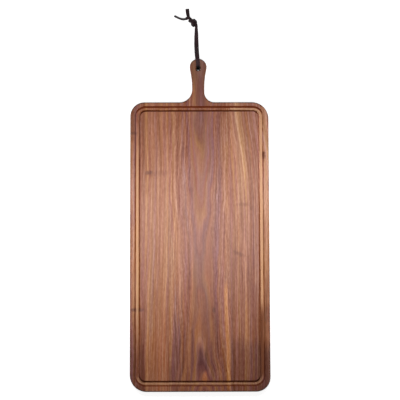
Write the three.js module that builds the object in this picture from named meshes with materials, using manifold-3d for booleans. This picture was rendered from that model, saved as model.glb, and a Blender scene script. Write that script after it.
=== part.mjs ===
// A long walnut bread board: four staves glued edge to edge, a juice groove round the serving face,
// a slim handle with a hole, and a leather lace knotted through the hole to hang the board by.
// Millimetres, +Z up. The board lies on z = 0 with its handle along +Y and its middle at the origin.

import * as THREE from "three";
import { mergeVertices } from "three/addons/utils/BufferGeometryUtils.js";
import Module from "manifold-3d";

const wasm = await Module();
wasm.setup();

// Board: the centre stave takes up the width that the other staves leave.
const BODY_WIDTH = 255;
const BODY_LENGTH = 529;
const LEFT_STAVE = 27;
const INNER_LEFT_STAVE = 44;
const RIGHT_STAVE = 71;
const THICKNESS = 19;
const EDGE_RADIUS = 3;
const CORNER_TOP_LEFT = 26;
const CORNER_TOP_RIGHT = 31;
const CORNER_BOTTOM_LEFT = 31;
const CORNER_BOTTOM_RIGHT = 26;

// Lace: a flat strap, pinched narrower and thinner where the knot is pulled tight.
const LACE_WIDTH = 7;
const LACE_THICKNESS = 2.5;
const KNOT_WIDTH = 5;
const KNOT_THICKNESS = 2;
const LACE_GAP = 0.3;
const TABLE_GAP = 0.2;

// Handle: a round head on a waisted neck, set a little left of the middle by hand shaping.
const HANDLE_LENGTH = 81.5;
const HANDLE_OFFSET = -2;
const HEAD_RADIUS = 15.7;
const NECK_WIDTH = 22.9;
const WAIST_HEIGHT = 27;
const ROOT_FILLET_LEFT = 23.5;
const ROOT_FILLET_RIGHT = 18.5;
const ROOT_SINK = 0.05;
const TONGUE_DEPTH = 20;
const LIFT_PLAY = 1;
const HOLE_PLAY = 1;
const HOLE_EASE = 1.5;
const HOLE_FROM_TIP = 18.7;

// Juice groove: a cove with eased lips, run round the face a little nearer the top left corner.
const GROOVE_WIDTH = 9.5;
const GROOVE_DEPTH = 4;
const GROOVE_LIP = 0.5;
const GROOVE_INSET = 14;
const GROOVE_SHIFT_X = -0.5;
const GROOVE_SHIFT_Y = 1.25;
const GROOVE_CORNER = 15;

// Knot: where the strands enter it, how far it leans to the left, and its wrap round the bundle.
const KNOT_ENTRY_X = -0.2;
const KNOT_ENTRY_Y = 83.6;
const KNOT_LEAN = THREE.MathUtils.degToRad(50);
const KNOT_GAP = 0.5;
const WRAP_START = 9.8;
const WRAP_END = 6.6;
const WRAP_FROM = 40;
const WRAP_TO = -102;
const WRAP_POINTS = 8;
const WRAP_ROUND = 0.4;
const TAIL_TILT = 0.3;

// Facets
const ARC_SEGMENTS = 8;
const EDGE_SEGMENTS = 4;
const COVE_SEGMENTS = 10;
const HOLE_SEGMENTS = 40;
const STEPS_PER_STATION = 2;

// Sizes that follow from the driving dimensions.
const CENTRE_STAVE = BODY_WIDTH - LEFT_STAVE - INNER_LEFT_STAVE - RIGHT_STAVE;
const BOARD_LENGTH = BODY_LENGTH + HANDLE_LENGTH;
const LEFT = -BODY_WIDTH / 2;
const RIGHT = BODY_WIDTH / 2;
const FOOT = -BOARD_LENGTH / 2;
const TIP = BOARD_LENGTH / 2;
const SHOULDER = FOOT + BODY_LENGTH;
const HANDLE_LIFT = LACE_THICKNESS + LIFT_PLAY;
const HOLE_RADIUS = (LACE_WIDTH + HOLE_PLAY) / 2;
const HOLE_Y = TIP - HOLE_FROM_TIP;

const WALNUT = new THREE.MeshStandardMaterial({ color: 0x8a5a41, roughness: 0.45, metalness: 0 });
const PALE_WALNUT = new THREE.MeshStandardMaterial({ color: 0xb07f5c, roughness: 0.45, metalness: 0 });
const LEATHER = new THREE.MeshStandardMaterial({ color: 0x33231f, roughness: 0.6, metalness: 0 });

// A closed mesh as a solid that can be cut and joined.
function toSolid(geometry) {
  const bare = geometry.clone();
  bare.deleteAttribute("normal");
  bare.deleteAttribute("uv");
  const merged = mergeVertices(bare, 1e-4);
  return new wasm.Manifold(
    new wasm.Mesh({
      numProp: 3,
      vertProperties: new Float32Array(merged.attributes.position.array),
      triVerts: new Uint32Array(merged.index.array),
    }),
  );
}

function toGeometry(solid) {
  const mesh = solid.getMesh();
  const geometry = new THREE.BufferGeometry();
  geometry.setAttribute("position", new THREE.BufferAttribute(mesh.vertProperties, 3));
  geometry.setIndex(new THREE.BufferAttribute(mesh.triVerts, 1));
  geometry.computeVertexNormals();
  return geometry;
}

// A skin through rings of points, closed on itself like a hoop or capped at both ends like a bar.
function loft(rings, isHoop) {
  const sides = rings[0].length;
  const positions = rings.flat().flatMap((point) => point.toArray());
  const faces = [];
  const lastStrip = isHoop ? rings.length : rings.length - 1;
  for (let i = 0; i < lastStrip; i++) {
    const here = i * sides;
    const next = ((i + 1) % rings.length) * sides;
    for (let k = 0; k < sides; k++) {
      const j = (k + 1) % sides;
      faces.push(here + k, here + j, next + j, here + k, next + j, next + k);
    }
  }
  if (!isHoop) {
    const end = (rings.length - 1) * sides;
    for (let k = 1; k < sides - 1; k++) {
      faces.push(0, k + 1, k, end, end + k, end + k + 1);
    }
  }
  const geometry = new THREE.BufferGeometry();
  geometry.setAttribute("position", new THREE.Float32BufferAttribute(positions, 3));
  geometry.setIndex(faces);
  return geometry;
}

// The handle seen from above, anticlockwise, on a tongue that reaches into the body.
// Each flank is the arc that leaves the straight neck at the waist and meets the head smoothly, and
// each root fillet sinks a hair below the shoulder to run out into the body's rounded edge.
function handleOutline() {
  const { PI } = Math;
  const half = NECK_WIDTH / 2;
  const headY = TIP - HEAD_RADIUS;
  const waistY = SHOULDER + WAIST_HEIGHT;
  const rise = headY - waistY;
  const flank = (rise ** 2 + half ** 2 - HEAD_RADIUS ** 2) / (2 * (HEAD_RADIUS - half));
  const lean = Math.atan2(rise, half + flank);
  const neckRight = HANDLE_OFFSET + half;
  const neckLeft = HANDLE_OFFSET - half;
  const rightX = neckRight + ROOT_FILLET_RIGHT;
  const leftX = neckLeft - ROOT_FILLET_LEFT;
  const rootY = SHOULDER - ROOT_SINK;
  const outline = new THREE.Shape();
  outline.moveTo(leftX - 2 * EDGE_RADIUS, rootY);
  outline.lineTo(leftX - 2 * EDGE_RADIUS, SHOULDER - TONGUE_DEPTH);
  outline.lineTo(rightX + 2 * EDGE_RADIUS, SHOULDER - TONGUE_DEPTH);
  outline.lineTo(rightX + 2 * EDGE_RADIUS, rootY);
  outline.absarc(rightX, rootY + ROOT_FILLET_RIGHT, ROOT_FILLET_RIGHT, -PI / 2, -PI, true);
  outline.absarc(neckRight + flank, waistY, flank, PI, PI - lean, true);
  outline.absarc(HANDLE_OFFSET, headY, HEAD_RADIUS, -lean, PI / 2, false);
  outline.absarc(HANDLE_OFFSET, headY, HEAD_RADIUS, PI / 2, PI + lean, false);
  outline.absarc(neckLeft - flank, waistY, flank, lean, 0, true);
  outline.absarc(leftX, rootY + ROOT_FILLET_LEFT, ROOT_FILLET_LEFT, 0, -PI / 2, true);
  outline.closePath();
  return outline;
}

// The body seen from above, anticlockwise from the lower right corner.
function bodyOutline() {
  const { PI } = Math;
  const corners = [
    [RIGHT, -1, FOOT, 1, CORNER_BOTTOM_RIGHT, -PI / 2],
    [RIGHT, -1, SHOULDER, -1, CORNER_TOP_RIGHT, 0],
    [LEFT, 1, SHOULDER, -1, CORNER_TOP_LEFT, PI / 2],
    [LEFT, 1, FOOT, 1, CORNER_BOTTOM_LEFT, PI],
  ];
  const outline = new THREE.Shape();
  for (const [x, inX, y, inY, radius, start] of corners) {
    outline.absarc(x + inX * radius, y + inY * radius, radius, start, start + PI / 2, false);
  }
  outline.closePath();
  return outline;
}

// A plank of an outline with its upper and lower edges rounded over.
function roundedPlank(outline, bottom, top) {
  const plank = new THREE.ExtrudeGeometry(outline, {
    depth: top - bottom - 2 * EDGE_RADIUS,
    curveSegments: ARC_SEGMENTS,
    bevelThickness: EDGE_RADIUS,
    bevelSize: EDGE_RADIUS,
    bevelOffset: -EDGE_RADIUS,
    bevelSegments: EDGE_SEGMENTS,
  });
  plank.translate(0, 0, bottom + EDGE_RADIUS);
  return toSolid(plank);
}

// The groove's cutter: a cove section with flared lips, carried round a rectangle with round corners.
function grooveCutter() {
  const half = GROOVE_WIDTH / 2;
  const lipZ = THICKNESS - GROOVE_LIP;
  const depth = GROOVE_DEPTH - GROOVE_LIP;
  const radius = (half ** 2 + depth ** 2) / (2 * depth);
  const spread = Math.asin(half / radius);
  const above = THICKNESS + GROOVE_LIP;
  const mouth = half + GROOVE_LIP;
  const section = [new THREE.Vector2(-mouth, above), new THREE.Vector2(mouth, above)];
  section.push(new THREE.Vector2(mouth, THICKNESS));
  for (let i = 0; i <= COVE_SEGMENTS; i++) {
    const angle = spread * (1 - (2 * i) / COVE_SEGMENTS);
    const z = lipZ - depth + radius * (1 - Math.cos(angle));
    section.push(new THREE.Vector2(radius * Math.sin(angle), z));
  }
  section.push(new THREE.Vector2(-mouth, THICKNESS));

  const reachX = RIGHT - GROOVE_INSET - GROOVE_CORNER;
  const reachY = BODY_LENGTH / 2 - GROOVE_INSET - GROOVE_CORNER;
  const middleY = (FOOT + SHOULDER) / 2 + GROOVE_SHIFT_Y;
  const corners = [[1, 1], [-1, 1], [-1, -1], [1, -1]];
  const turns = 2 * ARC_SEGMENTS;
  const rings = corners.flatMap(([sideX, sideY], corner) =>
    Array.from({ length: turns + 1 }, (_, step) => {
      const angle = (corner + step / turns) * (Math.PI / 2);
      return section.map(({ x: out, y: z }) => {
        const x = GROOVE_SHIFT_X + sideX * reachX + (GROOVE_CORNER + out) * Math.cos(angle);
        const y = middleY + sideY * reachY + (GROOVE_CORNER + out) * Math.sin(angle);
        return new THREE.Vector3(x, y, z);
      });
    }),
  );
  return toSolid(loft(rings, true));
}

// The hole's cutter: a drill with its two ends flared to ease the edges where the lace bends.
function holeCutter() {
  const flare = HOLE_RADIUS + 2 * HOLE_EASE;
  const profile = [
    [0, HANDLE_LIFT - HOLE_EASE],
    [flare, HANDLE_LIFT - HOLE_EASE],
    [HOLE_RADIUS, HANDLE_LIFT + HOLE_EASE],
    [HOLE_RADIUS, THICKNESS - HOLE_EASE],
    [flare, THICKNESS + HOLE_EASE],
    [0, THICKNESS + HOLE_EASE],
  ];
  const points = profile.map(([radius, height]) => new THREE.Vector2(radius, height));
  const drill = new THREE.LatheGeometry(points, HOLE_SEGMENTS);
  drill.rotateX(Math.PI / 2);
  drill.translate(HANDLE_OFFSET, HOLE_Y, 0);
  return toSolid(drill);
}

// The glued-up board: the body joined to the handle, whose underside is lifted off the table.
function boardSolid() {
  const body = roundedPlank(bodyOutline(), 0, THICKNESS);
  const handle = roundedPlank(handleOutline(), HANDLE_LIFT, THICKNESS);
  return body.add(handle).subtract(grooveCutter()).subtract(holeCutter());
}

// The part of the board between two glue lines.
function staveGeometry(board, from, to) {
  const slab = new THREE.BoxGeometry(to - from, 2 * BOARD_LENGTH, 4 * THICKNESS);
  slab.translate((from + to) / 2, 0, 0);
  return toGeometry(board.intersect(toSolid(slab)));
}

// A station of the lace: where its middle runs, which way its outer side faces, and how far it is
// pinched from its full section (0) to the tight section of the knot (1).
function station(x, y, z, face, pinch) {
  return { point: new THREE.Vector3(x, y, z), face: new THREE.Vector3(...face), pinch };
}

// A station of the loop, measured from the hole's axis and the table.
function onLoop(x, y, z, face, pinch = 0) {
  return station(HANDLE_OFFSET + x, HOLE_Y + y, z, face, pinch);
}

// A station of the knot: along the bundle, across it to the right, and up from the table.
function inKnot(along, across, z, face, pinch = 1) {
  const sin = Math.sin(KNOT_LEAN);
  const cos = Math.cos(KNOT_LEAN);
  const turned = [cos * face[1] - sin * face[0], sin * face[1] + cos * face[0], face[2]];
  const x = KNOT_ENTRY_X + cos * across - sin * along;
  const y = KNOT_ENTRY_Y + sin * across + cos * along;
  return onLoop(x, y, z, turned, pinch);
}

// The wrap: from the bundle's top over its right side and under it to the left, on a squarish spiral.
function wrapStations(low, high) {
  const middle = (low + high) / 2;
  const halfWidth = KNOT_WIDTH / 2 + KNOT_GAP + KNOT_THICKNESS / 2 + WRAP_ROUND;
  const halfHeight = (high - low) / 2;
  const squared = (value) => Math.sign(value) * Math.sqrt(Math.abs(value));
  return Array.from({ length: WRAP_POINTS + 1 }, (_, i) => {
    const share = i / WRAP_POINTS;
    const angle = THREE.MathUtils.degToRad(WRAP_FROM + (WRAP_TO - WRAP_FROM) * share);
    const across = halfWidth * squared(Math.cos(angle));
    const z = middle + halfHeight * squared(Math.sin(angle));
    const along = WRAP_START + (WRAP_END - WRAP_START) * share;
    return inKnot(along, across, z, [0, Math.cos(angle), Math.sin(angle)]);
  });
}

// The lace from its upright tail, through the knot, down the upper strand, through the hole, back
// along the lower strand, round the bundle and out under the wrap to its left tail.
function laceStations() {
  const UP = [0, 0, 1];
  const DOWN = [0, 0, -1];
  const BACK = [0, -1, 0];
  const floor = TABLE_GAP + LACE_THICKNESS / 2;
  const layer = KNOT_THICKNESS + KNOT_GAP;
  const low = TABLE_GAP + KNOT_THICKNESS / 2;
  const under = low + layer;
  const over = under + layer;
  const tucked = over + layer;
  const high = tucked + layer + WRAP_ROUND;
  const onTop = THICKNESS + LACE_GAP + LACE_THICKNESS / 2;
  const seat = Math.sqrt(HOLE_RADIUS ** 2 - (LACE_WIDTH / 2) ** 2) - LACE_GAP - LACE_THICKNESS / 2;
  const bend = LACE_THICKNESS / 2 + HOLE_EASE + LACE_GAP;
  const half = bend * Math.SQRT1_2;
  const onEdge = TABLE_GAP + LACE_WIDTH / 2 + TAIL_TILT;
  return [
    inKnot(36.3, 12.4, floor, UP, 0),
    inKnot(33.2, 9.3, floor + 0.2, UP, 0),
    inKnot(30.3, 6.5, floor + 0.9, UP, 0.1),
    inKnot(27, 3.6, floor + 2.4, UP, 0.4),
    inKnot(24, 1.5, over - 0.8, UP, 0.8),
    inKnot(20, 0.3, over, UP),
    inKnot(16, 0.1, over, UP),
    inKnot(11, 0.1, over, UP),
    inKnot(7, 0.1, over, UP),
    inKnot(4, -0.6, over, UP),
    inKnot(1.6, -2.6, over, UP, 0.9),
    inKnot(-0.4, -5.4, over - 0.2, UP, 0.7),
    onLoop(-3, 73, floor + 4.2, UP, 0.4),
    onLoop(-2.8, 67, floor + 3.6, UP, 0.2),
    onLoop(-2.8, 60, floor + 3.2, UP),
    onLoop(-2.5, 51, floor + 3.6, UP),
    onLoop(-2.2, 42, floor + 6.2, [0, 0.35, 0.94]),
    onLoop(-1.8, 34, floor + 10.4, [0, 0.5, 0.87]),
    onLoop(-1.4, 27, floor + 14.8, [0, 0.5, 0.87]),
    onLoop(-1.1, 21.4, onTop - 1.9, [0, 0.4, 0.92]),
    onLoop(-0.8, 16, onTop, [0, 0.1, 1]),
    onLoop(-0.4, 10, onTop, UP),
    onLoop(0, seat + bend, onTop, UP),
    onLoop(0, seat + bend - half, onTop - bend + half, [0, -1, 1]),
    onLoop(0, seat, onTop - bend, BACK),
    onLoop(0, seat, (onTop + floor) / 2, BACK),
    onLoop(0, seat, floor + bend, BACK),
    onLoop(0, seat + bend - half, floor + bend - half, [0, -1, -1]),
    onLoop(-0.1, seat + bend, floor, DOWN),
    onLoop(-0.8, 12, floor, DOWN),
    onLoop(-2, 22, floor, DOWN),
    onLoop(-3.1, 32, floor, DOWN),
    onLoop(-3.7, 43, floor, DOWN),
    onLoop(-3.8, 54, floor, DOWN),
    onLoop(-3.7, 64, floor + 0.1, DOWN, 0.1),
    onLoop(-3.5, 72, floor + 1, DOWN, 0.4),
    inKnot(-0.4, -5.4, under - 0.3, DOWN, 0.7),
    inKnot(1.6, -2.6, under, DOWN, 0.9),
    inKnot(4, -0.6, under, DOWN),
    inKnot(7, 0.1, under, DOWN),
    inKnot(11, 0.1, under, DOWN),
    inKnot(13.6, -0.5, under, DOWN),
    inKnot(15.8, -2, under, DOWN),
    inKnot(16.9, -4, under + 1, [0, -0.7, -0.7]),
    inKnot(17.2, -4.9, (under + high) / 2, [0, -1, 0]),
    inKnot(16.6, -4.4, high - 0.8, [0, -0.7, 0.7]),
    inKnot(14.9, -2, high, UP),
    inKnot(12.9, 0.2, high, UP),
    inKnot(11.2, 2.3, high - 0.1, [-0.1, 0.25, 0.96]),
    ...wrapStations(low, high),
    inKnot(6.9, -4.4, low, [0, -0.1, -1]),
    inKnot(7.2, -5.95, low + 0.65, [0, -0.71, -0.71]),
    inKnot(7.5, -6.6, under - 0.3, [0, -1, 0]),
    inKnot(8.1, -6.6, over, [0, -1, 0.1]),
    inKnot(8.9, -5.95, tucked - 0.65, [0, -0.71, 0.71]),
    inKnot(10.3, -4.3, tucked, [0, -0.1, 1]),
    inKnot(12.8, -1.9, tucked, UP),
    inKnot(15.5, -0.3, tucked, UP),
    inKnot(19.5, 0.1, tucked, UP),
    inKnot(22.3, -0.8, tucked - 0.1, UP, 0.9),
    inKnot(24.2, -2.9, tucked - 0.8, [0.1, 0.2, 1], 0.6),
    inKnot(26.2, -5.7, tucked - 2.2, [0.4, 0.6, 0.7], 0.3),
    inKnot(29, -8.2, onEdge + 0.9, [0.45, 0.75, 0.7], 0.1),
    inKnot(34.8, -10.9, onEdge, [0.4, 0.88, 0.55], 0),
    inKnot(40.2, -12.5, onEdge, [0.3, 0.9, 0.55], 0),
    inKnot(45.9, -13.6, onEdge, [0.15, 0.95, 0.5], 0),
  ];
}

// The strap's section: a flat bar with rounded long edges, as shares of half its width and thickness.
const LACE_SECTION = [
  [1, -0.5], [1, 0.5], [0.8, 1], [0.27, 1], [-0.27, 1], [-0.8, 1],
  [-1, 0.5], [-1, -0.5], [-0.8, -1], [-0.27, -1], [0.27, -1], [0.8, -1],
];

// Rings of the strap, square to its run, with the width lying across the run and the facing side.
function laceRings(stations) {
  const run = new THREE.CatmullRomCurve3(stations.map(({ point }) => point));
  const facing = new THREE.CatmullRomCurve3(stations.map(({ face }) => face.clone().normalize()));
  const last = stations.length - 1;
  return Array.from({ length: last * STEPS_PER_STATION + 1 }, (_, i) => {
    const place = i / STEPS_PER_STATION;
    const t = place / last;
    const from = Math.min(Math.floor(place), last - 1);
    const pinch = THREE.MathUtils.lerp(stations[from].pinch, stations[from + 1].pinch, place - from);
    const halfWidth = THREE.MathUtils.lerp(LACE_WIDTH, KNOT_WIDTH, pinch) / 2;
    const halfThickness = THREE.MathUtils.lerp(LACE_THICKNESS, KNOT_THICKNESS, pinch) / 2;
    const ahead = run.getTangent(t);
    const side = facing.getPoint(t).cross(ahead).normalize();
    const out = ahead.clone().cross(side);
    return LACE_SECTION.map(([across, up]) =>
      run.getPoint(t).addScaledVector(side, across * halfWidth).addScaledVector(out, up * halfThickness),
    );
  });
}

// The least distance between stretches of the lace that are not neighbours along it.
function leastSelfGap(rings) {
  const middles = rings.map((ring) => {
    const sum = ring.reduce((total, point) => total.add(point), new THREE.Vector3());
    return sum.divideScalar(ring.length);
  });
  const runs = [0];
  for (let i = 1; i < middles.length; i++) {
    runs.push(runs[i - 1] + middles[i].distanceTo(middles[i - 1]));
  }
  let least = Infinity;
  for (let i = 0; i < rings.length; i++) {
    for (let j = i + 1; j < rings.length; j++) {
      if (runs[j] - runs[i] < 2 * LACE_WIDTH || middles[i].distanceTo(middles[j]) > 2 * LACE_WIDTH) {
        continue;
      }
      for (const p of rings[i]) {
        for (const q of rings[j]) {
          least = Math.min(least, p.distanceTo(q));
        }
      }
    }
  }
  return { least, length: runs[runs.length - 1] };
}

function laceGeometry() {
  const rings = laceRings(laceStations());
  const { least, length } = leastSelfGap(rings);
  console.log(`lace: ${length.toFixed(1)} mm long, least gap to itself ${least.toFixed(2)} mm`);
  return loft(rings, false);
}

function addMesh(group, name, geometry, material) {
  const mesh = new THREE.Mesh(geometry, material);
  mesh.name = name;
  group.add(mesh);
}

const STAVES = [
  ["left_stave", LEFT_STAVE, WALNUT],
  ["inner_left_stave", INNER_LEFT_STAVE, PALE_WALNUT],
  ["centre_stave", CENTRE_STAVE, WALNUT],
  ["right_stave", RIGHT_STAVE, WALNUT],
];

const breadBoard = new THREE.Group();
const board = boardSolid();
let glueLine = LEFT;
for (const [name, width, material] of STAVES) {
  addMesh(breadBoard, name, staveGeometry(board, glueLine, glueLine + width), material);
  glueLine += width;
}
addMesh(breadBoard, "leather_lace", laceGeometry(), LEATHER);

export default breadBoard;
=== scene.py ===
# A walnut bread board with a juice groove and a handle, and a dark leather lace knotted through the hole
# in the handle. Lengths are written in millimetres in the part's own frame, and turned into metres where
# Blender takes them.

import math

import bpy
from mathutils import Matrix, Vector


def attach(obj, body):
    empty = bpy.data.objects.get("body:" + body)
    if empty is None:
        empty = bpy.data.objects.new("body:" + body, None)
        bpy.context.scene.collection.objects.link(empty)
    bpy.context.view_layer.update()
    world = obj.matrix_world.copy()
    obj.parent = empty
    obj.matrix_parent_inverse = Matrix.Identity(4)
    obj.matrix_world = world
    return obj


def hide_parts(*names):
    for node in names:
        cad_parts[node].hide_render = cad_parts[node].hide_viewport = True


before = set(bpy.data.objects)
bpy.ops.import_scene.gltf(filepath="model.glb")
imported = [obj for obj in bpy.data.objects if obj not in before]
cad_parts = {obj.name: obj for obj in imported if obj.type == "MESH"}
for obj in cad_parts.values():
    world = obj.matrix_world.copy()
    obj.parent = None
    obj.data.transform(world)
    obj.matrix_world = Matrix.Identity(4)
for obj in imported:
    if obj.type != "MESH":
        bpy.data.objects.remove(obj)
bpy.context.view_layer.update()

MM = 0.001

# Camera: a flat lay from almost straight above, a little below the middle of the board.
CAMERA_PLACE = (-6.55, -96.41, 1844.6)
CAMERA_PITCH = 4.348
CAMERA_YAW = -0.214
CAMERA_ROLL = -0.154
CAMERA_LENS = 90
CAMERA_SENSOR = 36

# Board
THICKNESS = 19
BODY_FOOT = -305.25
BODY_SHOULDER = 223.75
TIP = 305.25
JOINTS = (-100.5, -56.5, 56.5)
HEART_X = 4
GROOVE_DEPTH = 4
GROOVE_SIDE = 122
GROOVE_MARGIN = 5

# Shading of the staves, whose meshes stay as they are.
WELD_DISTANCE = 0.01
SHARP_ANGLE = math.radians(32)

# Lace
LACE_WIDTH = 7
LACE_THICKNESS = 2.5
KNOT_WIDTH = 5
KNOT_THICKNESS = 2
LACE_CORNER = 0.55
CORNER_STEPS = 4
LACE_STEPS = 8
HOLE_X = -2
HOLE_Y = 286.55
KNOT_ENTRY = (-0.2, 83.6)
KNOT_LEAN = math.radians(50)

# Studio. A lamp has a place, a point that it faces, a width and length, and a power in watts.
LAMPS = {
    "softbox": ((-20, 10, 370), (-20, 10, 0), (500, 240), 2.05),
    "key": ((-100, 900, 1600), (0, 0, 0), (500, 500), 2),
}
FLOOR_REACH = 15000
FLOOR_TONE = (0.8, 0.8, 0.8, 1)
FLOOR_GLOW = 0.86
SKY_DIMS_FROM = 0.05
SKY_DIMS_TO = 0.5
SKY_LOSS = 0.9


# Materials are written as formulas: a Field is a number, vector or colour at each point of a surface.
DISPLAY_GAMMA = 2.2


class Field:
    def __init__(self, tree, socket):
        self.tree = tree
        self.socket = socket

    def __add__(self, other):
        return calc("ADD", self, other)

    def __radd__(self, other):
        return calc("ADD", other, self)

    def __sub__(self, other):
        return calc("SUBTRACT", self, other)

    def __rsub__(self, other):
        return calc("SUBTRACT", other, self)

    def __mul__(self, other):
        return calc("MULTIPLY", self, other)

    def __truediv__(self, other):
        return calc("DIVIDE", self, other)

    def __pow__(self, other):
        return calc("POWER", self, other)

    def __abs__(self):
        return calc("ABSOLUTE", self)


def add_node(tree, kind, inputs, output=0, **settings):
    node = tree.nodes.new("ShaderNode" + kind)
    for name, value in settings.items():
        setattr(node, name, value)
    for key, value in inputs.items():
        if isinstance(value, Field):
            tree.links.new(value.socket, node.inputs[key])
        else:
            node.inputs[key].default_value = value
    return Field(tree, node.outputs[output])


def calc(operation, *values):
    tree = next(value.tree for value in values if isinstance(value, Field))
    return add_node(tree, "Math", dict(enumerate(values)), operation=operation)


def smooth(value, low, high):
    """0 below low, 1 above high and an even ease between them."""
    inputs = {"Value": value, "From Min": low, "From Max": high}
    return add_node(value.tree, "MapRange", inputs, interpolation_type="SMOOTHSTEP")


def within(value, low, high, ease):
    """1 between low and high, easing to 0 on both sides."""
    return smooth(value, low - ease, low + ease) * smooth(value, high + ease, high - ease)


def between(value, low, high):
    """A noise value stretched so that its usual range runs from low to high."""
    inputs = {"Value": value, "From Min": 0.3, "From Max": 0.7, "To Min": low, "To Max": high}
    return add_node(value.tree, "MapRange", inputs)


def noise(x, y, z, detail=2.0, roughness=0.5):
    tree = next(value.tree for value in (x, y, z) if isinstance(value, Field))
    place = add_node(tree, "CombineXYZ", {0: x, 1: y, 2: z})
    inputs = {"Vector": place, "Scale": 1.0, "Detail": detail, "Roughness": roughness}
    return add_node(tree, "TexNoise", inputs)


def curve(value, points):
    """A smooth line drawn through (input, output) points."""
    first, last = points[0][0], points[-1][0]
    low = min(out for _, out in points)
    high = max(out for _, out in points)
    share = add_node(value.tree, "MapRange", {"Value": value, "From Min": first, "From Max": last})
    drawn = add_node(value.tree, "FloatCurve", {"Value": share})
    mapping = drawn.socket.node.mapping
    line = mapping.curves[0]
    while len(line.points) < len(points):
        line.points.new(0.5, 0.5)
    for point, (place, out) in zip(line.points, points):
        point.location = ((place - first) / (last - first), (out - low) / (high - low))
    mapping.update()
    return drawn * (high - low) + low


def ramp(value, stops):
    """Colours at chosen places of a value."""
    first, last = stops[0][0], stops[-1][0]
    share = add_node(value.tree, "MapRange", {"Value": value, "From Min": first, "From Max": last})
    ramped = add_node(value.tree, "ValToRGB", {"Fac": share})
    band = ramped.socket.node.color_ramp
    while len(band.elements) < len(stops):
        band.elements.new(0.5)
    for element, (place, colour) in zip(band.elements, stops):
        element.position = (place - first) / (last - first)
        element.color = levels(colour)
    return ramped


def mix(share, a, b):
    return add_node(share.tree, "Mix", {0: share, 6: a, 7: b}, output=2, data_type="RGBA")


def shade(colour, factor):
    """A colour made lighter or darker by a number field."""
    grey = add_node(factor.tree, "CombineXYZ", {0: factor, 1: factor, 2: factor})
    return add_node(factor.tree, "VectorMath", {0: colour, 1: grey}, operation="MULTIPLY")


def lift(colour, amount, shares):
    """A colour moved by a number field, by a share of it in each channel."""
    push = add_node(amount.tree, "CombineXYZ", {0: amount, 1: amount, 2: amount})
    return add_node(amount.tree, "VectorMath", {0: push, 1: shares, 2: colour}, operation="MULTIPLY_ADD")


def levels(colour):
    """Display levels of 0 to 255 as shares of one."""
    return (*[level / 255 for level in colour], 1.0)


def new_material(name):
    material = bpy.data.materials.new(name)
    material.use_nodes = True
    tree = material.node_tree
    tree.nodes.clear()
    return material, tree


def finish_material(tree, colour, roughness, gloss, height, bump_strength, bump_distance):
    inputs = {"Height": height, "Strength": bump_strength, "Distance": bump_distance * MM}
    bump = add_node(tree, "Bump", inputs)
    base = add_node(tree, "Gamma", {"Color": colour, "Gamma": DISPLAY_GAMMA})
    inputs = {"Base Color": base, "Roughness": roughness, "Specular IOR Level": gloss, "Normal": bump}
    surface = add_node(tree, "BsdfPrincipled", inputs)
    output = tree.nodes.new("ShaderNodeOutputMaterial")
    tree.links.new(surface.socket, output.inputs["Surface"])


def parts_of(vector):
    return [add_node(vector.tree, "SeparateXYZ", {0: vector}, output=axis) for axis in range(3)]


def object_place(tree):
    """The point on the piece, in millimetres."""
    place = add_node(tree, "TexCoord", {}, output="Object")
    return [part * (1 / MM) for part in parts_of(place)]


def facing(tree):
    """Which way the surface faces: across the board, along it and upward."""
    return parts_of(add_node(tree, "TexCoord", {}, output="Normal"))


# Walnut tones as display levels, roughly from the darkest to the palest, and those of the groove: a pale
# floor tone that is partly a painted highlight, a dark floor tone, and the painted shade of its walls.
DEEP = (104, 61, 50)
PLUM = (119, 72, 61)
UMBER = (130, 87, 68)
RUST = (122, 70, 48)
MAUVE = (130, 79, 67)
LILAC = (130, 84, 81)
BROWN = (138, 83, 60)
RUSSET = (140, 86, 67)
ROSE = (145, 90, 68)
TAN = (155, 100, 68)
GOLD = (167, 112, 75)
FAWN = (176, 126, 98)
PALE = (180, 125, 84)
ORANGE = (176, 106, 67)
HONEY = (182, 119, 71)
SAND = (205, 156, 124)
COVE_TONE_AND_HIGHLIGHT = (212, 168, 130)
DARK_COVE = (122, 76, 54)
COVE_SHADOW = (96, 42, 20)

# Ways in which the grain changes a tone, as shares of red, green and blue.
LIGHTER = (1.0, 1.1, 1.2)
WARMER = (0.4, 0.35, -1.0)
REDDER = (0.7, -0.3, -0.3)

# Growth rings of each stave: the tone at each ring, from the inside out or from left to right.
CENTRE_RINGS = [
    (6, ROSE), (12, MAUVE), (15.5, MAUVE), (17, BROWN), (19, TAN), (20.3, ROSE), (22, BROWN),
    (23, MAUVE), (24.8, ROSE), (26, TAN), (27.5, TAN), (29, ROSE), (31, MAUVE), (34, BROWN),
    (36.5, ROSE),
]
CENTRE_RINGS_LEFT = [
    *CENTRE_RINGS, (39, MAUVE), (42, BROWN), (44.5, ROSE), (47, BROWN), (50, ROSE), (53, TAN),
    (57, TAN), (61, ROSE), (66, TAN), (70, ROSE),
]
CENTRE_RINGS_RIGHT = [
    *CENTRE_RINGS, (39, BROWN), (42, MAUVE), (45, MAUVE), (48, BROWN), (52, ROSE), (56, ROSE),
    (60, TAN), (64, ROSE), (70, TAN),
]
LEFT_RINGS = [(-128, ROSE), (-121, MAUVE), (-117, ROSE), (-110, BROWN), (-104, BROWN), (-99, ROSE)]
INNER_LEFT_RINGS = [
    (-101, TAN), (-97, GOLD), (-94, ROSE), (-90, TAN), (-82, ROSE), (-78, TAN), (-73, ROSE),
    (-69, TAN), (-64, TAN), (-60, GOLD), (-57, ROSE), (-50, TAN),
]
RIGHT_RINGS = [
    (40, ROSE), (46, BROWN), (52, ROSE), (57, TAN), (62, ROSE), (66, TAN), (68.5, PALE), (71, GOLD),
    (74, TAN), (79, ROSE), (84, BROWN), (92, BROWN), (98, ROSE), (104, BROWN), (112, ROSE), (124, TAN),
]
RING_ROUNDNESS = 1.6

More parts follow.
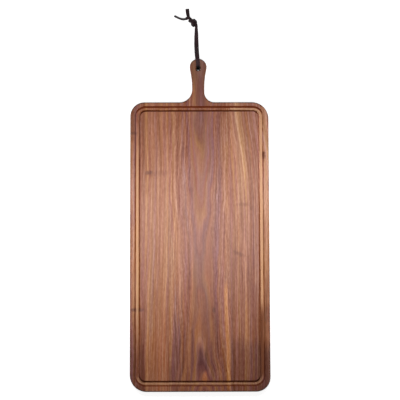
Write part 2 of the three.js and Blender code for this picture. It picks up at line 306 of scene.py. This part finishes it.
# How the rings run along the staves, as (y, value) points: where the heart of the centre stave lies and
# how deep it is under the face, and how far the rings of two other staves drift sideways.
HEART_LINE = [(BODY_FOOT, 8), (-276, 7), (-232, 3), (-100, 1), (31, 0.6), (TIP, 0.8)]
HEART_DEPTH = [
    (BODY_FOOT, 13), (-268, 19.7), (-226, 25), (-161, 28.8), (-85, 31), (-22, 28.8), (31, 25),
    (107, 19.7), (160, 16), (205, 13), (TIP, 9),
]
INNER_LEFT_DRIFT = [(BODY_FOOT, -7), (-140, -3), (0, 0), (BODY_SHOULDER, 1)]
RIGHT_DRIFT = [
    (BODY_FOOT, 14), (-160, 15), (-50, 16), (42, 15.5), (105, 12), (205, 0), (TIP, -8),
]

# Areas of one tone on each stave: the middle, half the width and length, the tone and its strength.
LEFT_PATCHES = [
    ((-123, 192), (9, 42), PLUM, 0.65),
    ((-125, 80), (8, 75), FAWN, 0.5),
    ((-123, -80), (10, 120), GOLD, 0.7),
]
INNER_LEFT_PATCHES = [
    ((-78, -250), (24, 80), ORANGE, 0.35),
    ((-68, 140), (11, 85), ROSE, 0.4),
]
CENTRE_PATCHES = [
    ((0, 186), (14, 38), LILAC, 0.7),
    ((18, 140), (12, 85), LILAC, 0.6),
    ((0, 65), (26, 100), RUSSET, 0.5),
    ((0, 112), (8, 28), TAN, 0.25),
    ((-2, 282), (22, 34), UMBER, 0.75),
    ((2, 230), (15, 38), PLUM, 0.75),
    ((0, -65), (15, 75), MAUVE, 0.5),
    ((-42, -235), (14, 100), PLUM, 0.9),
    ((26, -200), (11, 80), PLUM, 0.6),
    ((-4, -178), (7, 36), TAN, 0.3),
    ((8, -163), (8, 50), LILAC, 0.45),
    ((8, -180), (9, 62), PLUM, 0.5),
    ((-10, -245), (8, 36), PLUM, 0.4),
    ((25, -258), (9, 26), PLUM, 0.45),
    ((42, -130), (9, 60), MAUVE, 0.4),
    ((-26, -80), (11, 50), MAUVE, 0.35),
    ((46, 155), (9, 70), FAWN, 0.35),
    ((-48, 95), (8, 75), PALE, 0.25),
    ((-29, 170), (8, 40), FAWN, 0.25),
    ((4, -250), (13, 29), DEEP, 0.9),
    ((8, -279), (4.5, 12), ORANGE, 0.9),
]
RIGHT_PATCHES = [
    ((122, 5), (9, 170), PALE, 0.55),
    ((94, -30), (17, 120), BROWN, 0.75),
    ((92, -120), (12, 80), PLUM, 0.25),
    ((95, 18), (12, 16), RUSSET, 0.6),
    ((92, -68), (14, 10), BROWN, 0.7),
    ((99, -96), (6, 20), TAN, 0.6),
    ((67, -18), (9, 40), PALE, 0.4),
    ((90, 168), (12, 42), FAWN, 0.25),
    ((122, 115), (10, 120), SAND, 0.6),
    ((120, -168), (8, 20), PLUM, 0.5),
]

# Runs of one tone along the grain: the line as (y, x) points, half its width, the tone, its strength and
# the share of the grain's straying that it follows.
CENTRE_STREAKS = [
    ([(-250, -57), (-160, -53), (-112, -50), (-49, -45), (42, -46), (110, -51)], 6, GOLD, 0.65, 1),
    ([(-310, -39), (-280, -31), (-266, -26.5), (-251, -24), (-175, -23)], 4.5, TAN, 0.6, 0.5),
    ([(-310, -17), (-275, -11), (-246, -8), (-175, -8.5)], 4, TAN, 0.6, 0.5),
    ([(-310, -48), (-262, -38), (-246, -34.5), (-175, -32)], 3.5, ROSE, 0.6, 0.5),
    ([(-310, -21), (-260, -15.5), (-175, -14.5)], 3, PLUM, 0.6, 0.5),
    ([(-310, -43), (-281, -37), (-251, -30), (-175, -28)], 3, PLUM, 0.6, 0.5),
    ([(-230, 21), (-160, 19)], 4, TAN, 0.6, 0.5),
    ([(-290, 37), (-175, 35)], 4.5, ROSE, 0.6, 0.5),
    ([(-310, 52), (-230, 50.5), (-131, 47.5), (-100, 47)], 4.5, HONEY, 0.95, 1),
    ([(10, 46), (80, 47), (160, 50)], 7, GOLD, 0.7, 1),
    ([(210, -12.5), (246, -11.3), (270, -11)], 2.5, GOLD, 0.4, 0),
]
RIGHT_STREAKS = [
    ([(-10, 68), (42, 66), (120, 61), (212, 57)], 3.5, GOLD, 0.7, 1),
]
STREAK_SWAY = 0.4
STREAK_FADE = 25

# Small knots and cross marks: the middle, half the width and length, the slope, the tone and strength.
LEFT_MARKS = [
    ((-114, -157.6), (18, 4.5), -0.02, DEEP, 0.9),
    ((-121, 166), (10, 4), 0.0, DEEP, 0.8),
]
INNER_LEFT_MARKS = [
    ((-78, 91.5), (28, 7), 0.0, RUST, 0.4),
    ((-93, 93), (9, 5), 0.0, DEEP, 0.6),
]
CENTRE_MARKS = [
    ((25.5, -158), (4, 6), 0.0, DEEP, 0.9),
]
RIGHT_MARKS = [
    ((71, -56), (15, 5), -0.33, RUST, 0.65),
    ((80, 34), (19, 4.5), 0.0, RUST, 0.45),
    ((94, 29), (4, 8), 0.0, RUST, 0.6),
    ((117, 125), (5, 10), 0.0, DEEP, 0.8),
]

# Places along y: the groove's floor is dark below the first, and its pale middle, partly a painted
# highlight, ends at the second. Only the right run has a dark stretch above the foot, and its pale middle
# reaches nearer to the shoulder.
COVE_LIT_FROM = BODY_FOOT - 50
COVE_PALE_TO = 60
RIGHT_COVE_LIT_FROM = -175
RIGHT_COVE_PALE_TO = 150

WOOD_GLOSS = 0.42
GROOVE_GLOSS = 0.08
WOOD_BUMP = 0.35
WOOD_BUMP_DEPTH = 0.12


def wander(x, y, seed):
    """How far the grain strays sideways: long sways with small waves on them."""
    sway = (noise(x * 0.012, y * 0.0045, seed) - 0.5) * 12
    wave = (noise(x * 0.09, y * 0.014, seed + 3.7) - 0.5) * 6
    ragged = (noise(x * 0.3, y * 0.03, seed + 4.2) - 0.5) * 4
    return sway + wave + ragged


def centre_colour(x, y, z, stray):
    """Flat-sawn wood: the rings lie round a heart that is nearer the face at both ends, and the fine
    lines run almost straight through them."""
    depth = curve(y, HEART_DEPTH) + (THICKNESS - z)
    depth = depth + (noise(x * 0.045, y * 0.013, 3.1) - 0.5) * 12
    across = x - curve(y, HEART_LINE) + stray
    rings = (abs(across) ** RING_ROUNDNESS + depth ** RING_ROUNDNESS) ** (1 / RING_ROUNDNESS)
    left = ramp(rings, CENTRE_RINGS_LEFT)
    right = ramp(rings, CENTRE_RINGS_RIGHT)
    return rings, across + rings * 0.4, mix(smooth(across, -4, 4), left, right)


def straight_colour(x, y, z, stray, stops, drift, tilt):
    """Straight-grained wood: the rings stand almost upright and drift sideways along the stave."""
    rings = x - drift + stray + (THICKNESS - z) * tilt
    return rings, rings, ramp(rings, stops)


def patched(colour, x, y, patches):
    """A colour with soft areas of other tones, whose rims are ragged along the grain."""
    ragged = (noise(x * 0.25, y * 0.02, 5.3) - 0.5) * 1.8
    for place, size, tint, strength in patches:
        dx = (x - place[0]) / size[0]
        dy = (y - place[1]) / size[1]
        reach = calc("SQRT", dx * dx + dy * dy) + ragged
        colour = mix((1 - smooth(reach, 0.4, 1.2)) * strength, colour, levels(tint))
    return colour


def streaked(colour, x, y, stray, streaks):
    """A colour with runs of other tones that fade at both ends."""
    for path, width, tint, strength, sway in streaks:
        offset = abs(x - curve(y, path) + stray * (STREAK_SWAY * sway))
        first, last = path[0][0], path[-1][0]
        inside = smooth(y, first, first + STREAK_FADE) * (1 - smooth(y, last - STREAK_FADE, last))
        share = (1 - smooth(offset, width * 0.3, width)) * inside * strength
        colour = mix(share, colour, levels(tint))
    return colour


def marked(colour, x, y, marks):
    """A colour with small knots and cross marks that have ragged rims."""
    ragged = (noise(x * 0.25, y * 0.25, 9.1) - 0.5) * 0.9
    for place, size, slope, tint, strength in marks:
        dx = (x - place[0]) / size[0]
        dy = (y - place[1] - (x - place[0]) * slope) / size[1]
        reach = calc("SQRT", dx * dx + dy * dy) + ragged
        colour = mix((1 - smooth(reach, 0.3, 1.1)) * strength, colour, levels(tint))
    return colour


# A stave's paint gives its rings, the sideways measure that its fine lines follow, and its colour.

def paint_left(x, y, z, stray):
    rings, strands, colour = straight_colour(x, y, z, stray, LEFT_RINGS, y * 0.004, 0.4)
    colour = patched(colour, x, y, LEFT_PATCHES)
    dark_foot = smooth(y, -180, -250)
    colour = mix(dark_foot * 0.5, colour, levels(DEEP))
    return rings, strands, marked(colour, x, y, LEFT_MARKS)


def paint_inner_left(x, y, z, stray):
    drift = curve(y, INNER_LEFT_DRIFT)
    rings, strands, colour = straight_colour(x, y, z, stray * 0.6, INNER_LEFT_RINGS, drift, 0.3)
    colour = patched(colour, x, y, INNER_LEFT_PATCHES)
    return rings, strands, marked(colour, x, y, INNER_LEFT_MARKS)


def paint_centre(x, y, z, stray):
    rings, strands, colour = centre_colour(x, y, z, stray)
    colour = patched(colour, x, y, CENTRE_PATCHES)
    colour = streaked(colour, x, y, stray, CENTRE_STREAKS)
    return rings, strands, marked(colour, x, y, CENTRE_MARKS)


def paint_right(x, y, z, stray):
    drift = curve(y, RIGHT_DRIFT)
    rings, strands, colour = straight_colour(x, y, z, stray * 0.6, RIGHT_RINGS, drift, 0.5)
    colour = lift(colour, smooth(y, -10, 80) * 0.05, LIGHTER)
    colour = patched(colour, x, y, RIGHT_PATCHES)
    colour = streaked(colour, x, y, stray, RIGHT_STREAKS)
    dark_foot = smooth(y + stray * 3, -200, -230)
    colour = mix(dark_foot * (smooth(x, 85, 120) * 0.45 + 0.45), colour, levels(DEEP))
    return rings, strands, marked(colour, x, y, RIGHT_MARKS)


# Each stave's material, the seed of its noise, its tones, and where its groove is lit from and pale to
# (the pale floor is partly a painted highlight).
STAVES = {
    "left_stave": ("walnut_left", 2.3, paint_left, COVE_LIT_FROM, COVE_PALE_TO),
    "inner_left_stave": ("walnut_inner_left", 8.1, paint_inner_left, COVE_LIT_FROM, COVE_PALE_TO),
    "centre_stave": ("walnut_centre", 14.6, paint_centre, COVE_LIT_FROM, COVE_PALE_TO),
    "right_stave": ("walnut_right", 21.2, paint_right, RIGHT_COVE_LIT_FROM, RIGHT_COVE_PALE_TO),
}


def fine_lines(x, y, rings, strands, seed):
    """Fine lines along the grain, which bend round the heart near the foot."""
    straight = noise(strands * 0.5, y * 0.007, seed + 1.3, detail=3.0, roughness=0.6)
    arched = noise(rings * 0.5, y * 0.007, seed + 1.3, detail=3.0, roughness=0.6)
    arch = (smooth(y, -150, -220) * 0.7 + 0.3) * (1 - smooth(x, 16, 30) * 0.6)
    return (straight * (1 - arch) + arched * arch - 0.5) * 1.2 + 0.5


def line_contrast(x, y):
    """How strongly the fine lines show: least along the heart, most on the limbs beside it."""
    heart = 1 - smooth(abs(x - HEART_X), 12, 26)
    past_limbs = smooth(abs(x), 52, 60)
    left_foot = smooth(y, -190, -240) * smooth(x, -8, -20) * smooth(x, -62, -52)
    return 1.25 - heart * 0.7 - past_limbs * 0.25 - left_foot * 0.45


def grained(colour, x, y, z, rings, strands, fibres, seed):
    """A colour with the grain's changes of hue, its stripes, lines, threads and flecks."""
    hues = noise(rings * 0.2, y * 0.003, seed + 7.7)
    reds = noise(rings * 0.3, y * 0.004, seed + 5.5)
    stripes = noise(rings * 0.26, y * 0.0035, seed + 0.6)
    lines = fine_lines(x, y, rings, strands, seed)
    threads = noise(strands * 1.1, y * 0.014, seed + 2.9, detail=3.0, roughness=0.6)
    flecks = noise(x * 0.45, y * 0.14, z * 0.45 + seed)
    contrast = line_contrast(x, y)
    colour = lift(colour, between(hues, -0.03, 0.03), WARMER)
    colour = lift(colour, between(reds, -0.02, 0.02), REDDER)
    colour = lift(colour, between(stripes, -0.035, 0.035), LIGHTER)
    for grain, reach in ((lines, 0.065), (threads, 0.05), (fibres, 0.012), (flecks, 0.03)):
        colour = lift(colour, between(grain, -reach, reach) * contrast, LIGHTER)
    return colour


def grooved(colour, x, y, z, lit_from, pale_to):
    """A colour with the groove's pale floor, partly a painted highlight, its walls darkened by painted
    shade, and where the groove is.
    """
    across, along, upward = facing(x.tree)
    outward = across * calc("SIGN", x)
    cove_floor = THICKNESS - GROOVE_DEPTH
    zone = within(x, -GROOVE_SIDE, GROOVE_SIDE, 1)
    zone = zone * within(y, BODY_FOOT + GROOVE_MARGIN, BODY_SHOULDER - GROOVE_MARGIN, 1)
    inside = zone * smooth(z, THICKNESS - 0.3, THICKNESS - 1.2)
    inside = inside * smooth(z, cove_floor - 3, cove_floor - 1)
    sloped = zone * smooth(upward, 0.99, 0.9)
    floor = inside * smooth(upward, 0.82, 0.94)
    steep = smooth(abs(along), 0.2, 0.6)

    lit = smooth(y, lit_from, lit_from + 40)
    middle = smooth(y, -290, -120) * smooth(y, pale_to + 190, pale_to)
    foot_run = smooth(y, -270, -285)
    # The floor is darker where it is not lit, and is painted pale over its middle rows and along the foot
    # run: partly lighter wood, partly a painted highlight.
    colour = mix(floor * (1 - lit) * (1 - foot_run), colour, levels(DARK_COVE))
    colour = mix(floor * (lit * (middle * 0.75 + 0.05) + foot_run * 0.45), colour, levels(COVE_TONE_AND_HIGHLIGHT))

    # Surfaces facing along the board are darker: end grain at the board's ends, and painted shade on the
    # groove's walls, which are also mixed towards a painted shadow tone.
    colour = shade(colour, 1 - steep * (0.4 - zone * 0.2))
    colour = mix(zone * steep * (0.85 - foot_run * 0.45), colour, levels(COVE_SHADOW))
    # Painted light: the inner wall of the right run is lightened from the middle rows up.
    painted_light_right_wall = zone * smooth(outward, 0.2, 0.6) * smooth(x, 95, 105) * smooth(y, -60, 140)
    colour = shade(colour, 1 + painted_light_right_wall * 0.25)
    # Painted shade: the groove's outer walls, which face the middle of the board, are darkened.
    painted_shade_outer_wall = inside * smooth(outward, -0.55, -0.8)
    colour = shade(colour, 1 - painted_shade_outer_wall * 0.22)
    return colour, calc("MAXIMUM", inside, sloped)


def walnut(name, seed, paint, lit_from, pale_to):
    """Oiled walnut: the stave's own tones, then the grain, the pores, the groove with its painted
    highlight and shade, and the glue lines.
    """
    material, tree = new_material(name)
    x, y, z = object_place(tree)
    rings, strands, colour = paint(x, y, z, wander(x, y, seed))
    fibres = noise(x * 1.6, y * 0.03, z * 1.6, detail=3.0, roughness=0.6)
    pores = smooth(noise(x * 2.6, y * 0.07, z * 2.6 + seed), 0.6, 0.72)
    colour = grained(colour, x, y, z, rings, strands, fibres, seed)
    colour = shade(colour, 1 - pores * 0.1)
    colour, groove = grooved(colour, x, y, z, lit_from, pale_to)
    for joint in JOINTS:
        glue_line = 1 - smooth(abs(x - joint), 0.1, 0.5)
        colour = shade(colour, 1 - glue_line * 0.15)
    roughness = between(fibres, 0.4, 0.48) + pores * 0.1
    gloss = WOOD_GLOSS - groove * (WOOD_GLOSS - GROOVE_GLOSS)
    height = fibres * 0.5 - pores
    finish_material(tree, colour, roughness, gloss, height, WOOD_BUMP, WOOD_BUMP_DEPTH)
    return material


def dress_stave(node, material):
    """The CAD stave keeps its mesh: its rounded edges are only shaded smooth."""
    node.data.materials.clear()
    node.data.materials.append(material)
    for polygon in node.data.polygons:
        polygon.use_smooth = True
    weld = node.modifiers.new("weld", "WELD")
    weld.merge_threshold = WELD_DISTANCE * MM
    split = node.modifiers.new("split", "EDGE_SPLIT")
    split.split_angle = SHARP_ANGLE
    even = node.modifiers.new("even", "WEIGHTED_NORMAL")
    even.weight = 100
    even.keep_sharp = True


LEATHER_TONES = [(0.3, (36, 21, 25)), (0.5, (46, 29, 33)), (0.7, (60, 41, 43))]
LEATHER_GLOSS = 0.35
LEATHER_BUMP = 0.4
LEATHER_BUMP_DEPTH = 0.15


def leather():
    """Dark waxed leather: worn in soft patches, with a painted highlight on its flat sides, painted shade
    on its edges and painted shade inside the hole.
    """
    material, tree = new_material("lace_leather")
    x, y, z = object_place(tree)
    grain = noise(x * 2.2, y * 2.2, z * 2.2, detail=4.0, roughness=0.6)
    wear = noise(x * 0.22, y * 0.22, z * 0.22, detail=3.0)
    # Painted light: the strap's flat sides are paler as a painted highlight, and its edges darker as
    # painted shade.
    flat = smooth(abs(facing(tree)[2]), 0.6, 0.98)
    from_hole = calc("SQRT", (x - HOLE_X) ** 2 + (y - HOLE_Y) ** 2)
    # Painted shade: the lace is darkened inside the hole, and its gloss is lowered there.
    painted_hole_shade_factor = smooth(from_hole, 2.5, 5.5) * 0.85 + 0.15
    colour = ramp(wear, LEATHER_TONES)
    colour = shade(colour, between(grain, 0.9, 1.1) * (flat * 0.5 + 0.7) * painted_hole_shade_factor)
    roughness = between(wear, 0.6, 0.5)
    gloss = painted_hole_shade_factor * LEATHER_GLOSS
    finish_material(tree, colour, roughness, gloss, grain, LEATHER_BUMP, LEATHER_BUMP_DEPTH)
    return material


# The lace's route, station by station as in the part: where its middle runs, which way its outer side
# faces and how far it is pinched into the knot.
UP = (0, 0, 1)
DOWN = (0, 0, -1)
BACK = (0, -1, 0)
FLOOR = 1.45
LOW = 1.2
UNDER = 3.7
OVER = 6.2
TUCKED = 8.7
HIGH = 11.6
ON_EDGE = 4
ON_TOP = 20.55
SEAT = 0.386
BEND = 3.05
TURN = BEND * math.sqrt(0.5)
WRAP_POINTS = 8
WRAP_START = 40
WRAP_SWEEP = 142
WRAP_REACH = 4.4
WRAP_ALONG = 9.8
WRAP_DRIFT = 3.2


def on_loop(x, y, z, face, pinch=0.0):
    """A station placed from the middle of the hole."""
    return Vector((HOLE_X + x, HOLE_Y + y, z)), Vector(face).normalized(), pinch


def in_knot(along, across, z, face, pinch=1.0):
    """A station placed along and across the leaning knot."""
    sin, cos = math.sin(KNOT_LEAN), math.cos(KNOT_LEAN)
    turned = (cos * face[1] - sin * face[0], sin * face[1] + cos * face[0], face[2])
    x = KNOT_ENTRY[0] + cos * across - sin * along
    y = KNOT_ENTRY[1] + sin * across + cos * along
    return on_loop(x, y, z, turned, pinch)


def wrap_station(step):
    """A station of the turn that wraps the knot, on a squared round."""
    share = step / WRAP_POINTS
    angle = math.radians(WRAP_START - WRAP_SWEEP * share)
    sin, cos = math.sin(angle), math.cos(angle)
    across = WRAP_REACH * math.copysign(math.sqrt(abs(cos)), cos)
    z = (LOW + HIGH) / 2 + (HIGH - LOW) / 2 * math.copysign(math.sqrt(abs(sin)), sin)
    return in_knot(WRAP_ALONG - WRAP_DRIFT * share, across, z, (0, cos, sin))


TO_HOLE = [
    in_knot(36.3, 12.4, FLOOR, UP, 0),
    in_knot(33.2, 9.3, FLOOR + 0.2, UP, 0),
    in_knot(30.3, 6.5, FLOOR + 0.9, UP, 0.1),
    in_knot(27, 3.6, FLOOR + 2.4, UP, 0.4),
    in_knot(24, 1.5, OVER - 0.8, UP, 0.8),
    in_knot(20, 0.3, OVER, UP),
    in_knot(16, 0.1, OVER, UP),
    in_knot(11, 0.1, OVER, UP),
    in_knot(7, 0.1, OVER, UP),
    in_knot(4, -0.6, OVER, UP),
    in_knot(1.6, -2.6, OVER, UP, 0.9),
    in_knot(-0.4, -5.4, OVER - 0.2, UP, 0.7),
    on_loop(-3, 73, FLOOR + 4.2, UP, 0.4),
    on_loop(-2.8, 67, FLOOR + 3.6, UP, 0.2),
    on_loop(-2.8, 60, FLOOR + 3.2, UP),
    on_loop(-2.5, 51, FLOOR + 3.6, UP),
    on_loop(-2.2, 42, FLOOR + 6.2, (0, 0.35, 0.94)),
    on_loop(-1.8, 34, FLOOR + 10.4, (0, 0.5, 0.87)),
    on_loop(-1.4, 27, FLOOR + 14.8, (0, 0.5, 0.87)),
    on_loop(-1.1, 21.4, ON_TOP - 1.9, (0, 0.4, 0.92)),
    on_loop(-0.8, 16, ON_TOP, (0, 0.1, 1)),
    on_loop(-0.4, 10, ON_TOP, UP),
    on_loop(0, SEAT + BEND, ON_TOP, UP),
    on_loop(0, SEAT + BEND - TURN, ON_TOP - BEND + TURN, (0, -1, 1)),
    on_loop(0, SEAT, ON_TOP - BEND, BACK),
]
IN_HOLE = on_loop(0, SEAT, (ON_TOP + FLOOR) / 2, BACK)
FROM_HOLE = [
    on_loop(0, SEAT, FLOOR + BEND, BACK),
    on_loop(0, SEAT + BEND - TURN, FLOOR + BEND - TURN, (0, -1, -1)),
    on_loop(-0.1, SEAT + BEND, FLOOR, DOWN),
    on_loop(-0.8, 12, FLOOR, DOWN),
    on_loop(-2, 22, FLOOR, DOWN),
    on_loop(-3.1, 32, FLOOR, DOWN),
    on_loop(-3.7, 43, FLOOR, DOWN),
    on_loop(-3.8, 54, FLOOR, DOWN),
    on_loop(-3.7, 64, FLOOR + 0.1, DOWN, 0.1),
    on_loop(-3.5, 72, FLOOR + 1, DOWN, 0.4),
    in_knot(-0.4, -5.4, UNDER - 0.3, DOWN, 0.7),
    in_knot(1.6, -2.6, UNDER, DOWN, 0.9),
    in_knot(4, -0.6, UNDER, DOWN),
    in_knot(7, 0.1, UNDER, DOWN),
    in_knot(11, 0.1, UNDER, DOWN),
    in_knot(13.6, -0.5, UNDER, DOWN),
    in_knot(15.8, -2, UNDER, DOWN),
    in_knot(16.9, -4, UNDER + 1, (0, -0.7, -0.7)),
    in_knot(17.2, -4.9, (UNDER + HIGH) / 2, (0, -1, 0)),
    in_knot(16.6, -4.4, HIGH - 0.8, (0, -0.7, 0.7)),
    in_knot(14.9, -2, HIGH, UP),
    in_knot(12.9, 0.2, HIGH, UP),
    in_knot(11.2, 2.3, HIGH - 0.1, (-0.1, 0.25, 0.96)),
    *[wrap_station(step) for step in range(WRAP_POINTS + 1)],
    in_knot(6.9, -4.4, LOW, (0, -0.1, -1)),
    in_knot(7.2, -5.95, LOW + 0.65, (0, -0.71, -0.71)),
    in_knot(7.5, -6.6, UNDER - 0.3, (0, -1, 0)),
    in_knot(8.1, -6.6, OVER, (0, -1, 0.1)),
    in_knot(8.9, -5.95, TUCKED - 0.65, (0, -0.71, 0.71)),
    in_knot(10.3, -4.3, TUCKED, (0, -0.1, 1)),
    in_knot(12.8, -1.9, TUCKED, UP),
    in_knot(15.5, -0.3, TUCKED, UP),
    in_knot(19.5, 0.1, TUCKED, UP),
    in_knot(22.3, -0.8, TUCKED - 0.1, UP, 0.9),
    in_knot(24.2, -2.9, TUCKED - 0.8, (0.1, 0.2, 1), 0.6),
    in_knot(26.2, -5.7, TUCKED - 2.2, (0.4, 0.6, 0.7), 0.3),
    in_knot(29, -8.2, ON_EDGE + 0.9, (0.45, 0.75, 0.7), 0.1),
    in_knot(34.8, -10.9, ON_EDGE, (0.4, 0.88, 0.55), 0),
    in_knot(40.2, -12.5, ON_EDGE, (0.3, 0.9, 0.55), 0),
    in_knot(45.9, -13.6, ON_EDGE, (0.15, 0.95, 0.5), 0),
]


SHORTEST_STEP = 1e-4
SAME_POINT = 1e-6


def spline_point(points, place):
    """A point of the centripetal Catmull-Rom spline through the points, and its direction."""
    index = min(int(place), len(points) - 2)
    share = place - index
    b, c = points[index], points[index + 1]
    a = points[index - 1] if index else 2 * b - c
    d = points[index + 2] if index + 2 < len(points) else 2 * c - b
    lengths = [(q - p).length for p, q in ((a, b), (b, c), (c, d))]
    steps = [max(length, SHORTEST_STEP) ** 0.5 for length in lengths]
    before, own, after = [
        step if length > SAME_POINT else steps[1] for step, length in zip(steps, lengths)
    ]
    start = ((b - a) / before - (c - a) / (before + own) + (c - b) / own) * own
    end = ((c - b) / own - (d - b) / (own + after) + (d - c) / after) * own
    s2, s3 = share * share, share ** 3
    point = (
        b * (2 * s3 - 3 * s2 + 1)
        + start * (s3 - 2 * s2 + share)
        + c * (3 * s2 - 2 * s3)
        + end * (s3 - s2)
    )
    slope = (
        b * (6 * s2 - 6 * share)
        + start * (3 * s2 - 4 * share + 1)
        + c * (6 * share - 6 * s2)
        + end * (3 * s2 - 2 * share)
    )
    return point, slope


def lace_section(half_width, half_thickness):
    """The strap's section: a flat bar with rounded corners."""
    corner = min(LACE_CORNER, half_thickness)
    points = []
    for sign_x, sign_z, start in ((1, 1, 0), (-1, 1, 90), (-1, -1, 180), (1, -1, 270)):
        for step in range(CORNER_STEPS + 1):
            angle = math.radians(start + step * 90 / CORNER_STEPS)
            x = sign_x * (half_width - corner) + corner * math.cos(angle)
            z = sign_z * (half_thickness - corner) + corner * math.sin(angle)
            points.append((x, z))
    return points


def lace_rings(stations):
    """Sections along the lace, each with its middle."""
    points = [point for point, _, _ in stations]
    faces = [face for _, face, _ in stations]
    rings = []
    for i in range((len(stations) - 1) * LACE_STEPS + 1):
        place = i / LACE_STEPS
        index = min(int(place), len(stations) - 2)
        pinch, next_pinch = stations[index][2], stations[index + 1][2]
        pinch = pinch + (next_pinch - pinch) * (place - index)
        middle, ahead = spline_point(points, place)
        face, _ = spline_point(faces, place)
        side = face.cross(ahead).normalized()
        out = ahead.cross(side).normalized()
        half_width = (LACE_WIDTH + (KNOT_WIDTH - LACE_WIDTH) * pinch) / 2
        half_thickness = (LACE_THICKNESS + (KNOT_THICKNESS - LACE_THICKNESS) * pinch) / 2
        section = lace_section(half_width, half_thickness)
        rings.append((middle, [middle + side * x + out * z for x, z in section]))
    return rings


def strand(name, rings, material):
    """Half of the lace, from inside the hole to one of its cut tails."""
    sides = len(rings[0][1])
    vertices = [point * MM for _, ring in rings for point in ring]
    faces = [tuple(reversed(range(sides))), tuple(range(len(vertices) - sides, len(vertices)))]
    for i in range(len(rings) - 1):
        for k in range(sides):
            j = (k + 1) % sides
            faces.append((i * sides + k, i * sides + j, (i + 1) * sides + j, (i + 1) * sides + k))
    mesh = bpy.data.meshes.new(name)
    mesh.from_pydata(vertices, [], faces)
    mesh.validate()
    mesh.materials.append(material)
    for polygon in mesh.polygons:
        polygon.use_smooth = len(polygon.vertices) == 4
    piece = bpy.data.objects.new(name, mesh)
    bpy.context.scene.collection.objects.link(piece)
    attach(piece, "lace")
    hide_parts("leather_lace")
    path = [middle * MM for middle, _ in rings]


def add_lace():
    """The lace as two strands that meet inside the hole."""
    material = leather()
    rings = lace_rings([*TO_HOLE, IN_HOLE, *FROM_HOLE])
    middle = len(TO_HOLE) * LACE_STEPS
    upper = list(reversed(rings[: middle + 1]))
    upper = [(point, list(reversed(ring))) for point, ring in upper]
    strand("lace_upper_strand", upper, material)
    strand("lace_lower_strand", rings[middle:], material)


def add_camera():
    data = bpy.data.cameras.new("photo_camera")
    data.lens = CAMERA_LENS
    data.sensor_width = CAMERA_SENSOR
    camera = bpy.data.objects.new("photo_camera", data)
    turn = Matrix.Rotation(math.radians(CAMERA_ROLL), 4, "Z")
    turn = turn @ Matrix.Rotation(math.radians(CAMERA_PITCH), 4, "X")
    turn = turn @ Matrix.Rotation(math.radians(CAMERA_YAW), 4, "Y")
    camera.matrix_world = Matrix.Translation(Vector(CAMERA_PLACE) * MM) @ turn
    bpy.context.scene.collection.objects.link(camera)
    bpy.context.scene.camera = camera


def add_lamp(name, place, target, size, power):
    data = bpy.data.lights.new(name, "AREA")
    data.shape = "RECTANGLE"
    data.size, data.size_y = [side * MM for side in size]
    data.energy = power
    lamp = bpy.data.objects.new(name, data)
    lamp.location = Vector(place) * MM
    lamp.rotation_euler = (Vector(target) - Vector(place)).to_track_quat("-Z", "Y").to_euler()
    lamp.visible_camera = False
    bpy.context.scene.collection.objects.link(lamp)


def seen_directly(tree):
    """1 where the camera sees a surface, also in a mirror or through glass."""
    names = ("Is Camera Ray", "Is Glossy Ray", "Is Transmission Ray")
    straight, mirrored, through = [add_node(tree, "LightPath", {}, output=name) for name in names]
    return calc("MAXIMUM", calc("MAXIMUM", straight, mirrored), through)


def add_floor():
    mesh = bpy.data.meshes.new("floor")
    reach = FLOOR_REACH * MM
    corners = [(reach * x, reach * y, 0) for x, y in ((-1, -1), (1, -1), (1, 1), (-1, 1))]
    mesh.from_pydata(corners, [], [(0, 1, 2, 3)])
    floor = bpy.data.objects.new("floor", mesh)
    bpy.context.scene.collection.objects.link(floor)
    material, tree = new_material("white_floor")
    paint = add_node(tree, "BsdfDiffuse", {"Color": FLOOR_TONE})
    glow = add_node(tree, "Emission", {"Strength": seen_directly(tree) * FLOOR_GLOW})
    both = add_node(tree, "AddShader", {0: paint, 1: glow})
    output = tree.nodes.new("ShaderNodeOutputMaterial")
    tree.links.new(both.socket, output.inputs["Surface"])
    mesh.materials.append(material)


def add_world():
    """Bright at the horizon and dim overhead, as in a studio with pale walls."""
    world = bpy.data.worlds.new("studio")
    world.use_nodes = True
    tree = world.node_tree
    tree.nodes.clear()
    direction = add_node(tree, "TexCoord", {}, output="Generated")
    rise = add_node(tree, "SeparateXYZ", {0: direction}, output=2)
    overhead = smooth(rise, SKY_DIMS_FROM, SKY_DIMS_TO)
    sky = add_node(tree, "Background", {"Strength": 1 - overhead * SKY_LOSS})
    output = tree.nodes.new("ShaderNodeOutputWorld")
    tree.links.new(sky.socket, output.inputs["Surface"])
    bpy.context.scene.world = world


for node_name, look in STAVES.items():
    dress_stave(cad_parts[node_name], walnut(*look))
add_lace()
add_camera()
for lamp_name, setting in LAMPS.items():
    add_lamp(lamp_name, *setting)
add_floor()
add_world()
bpy.context.scene.view_settings.view_transform = "Standard"
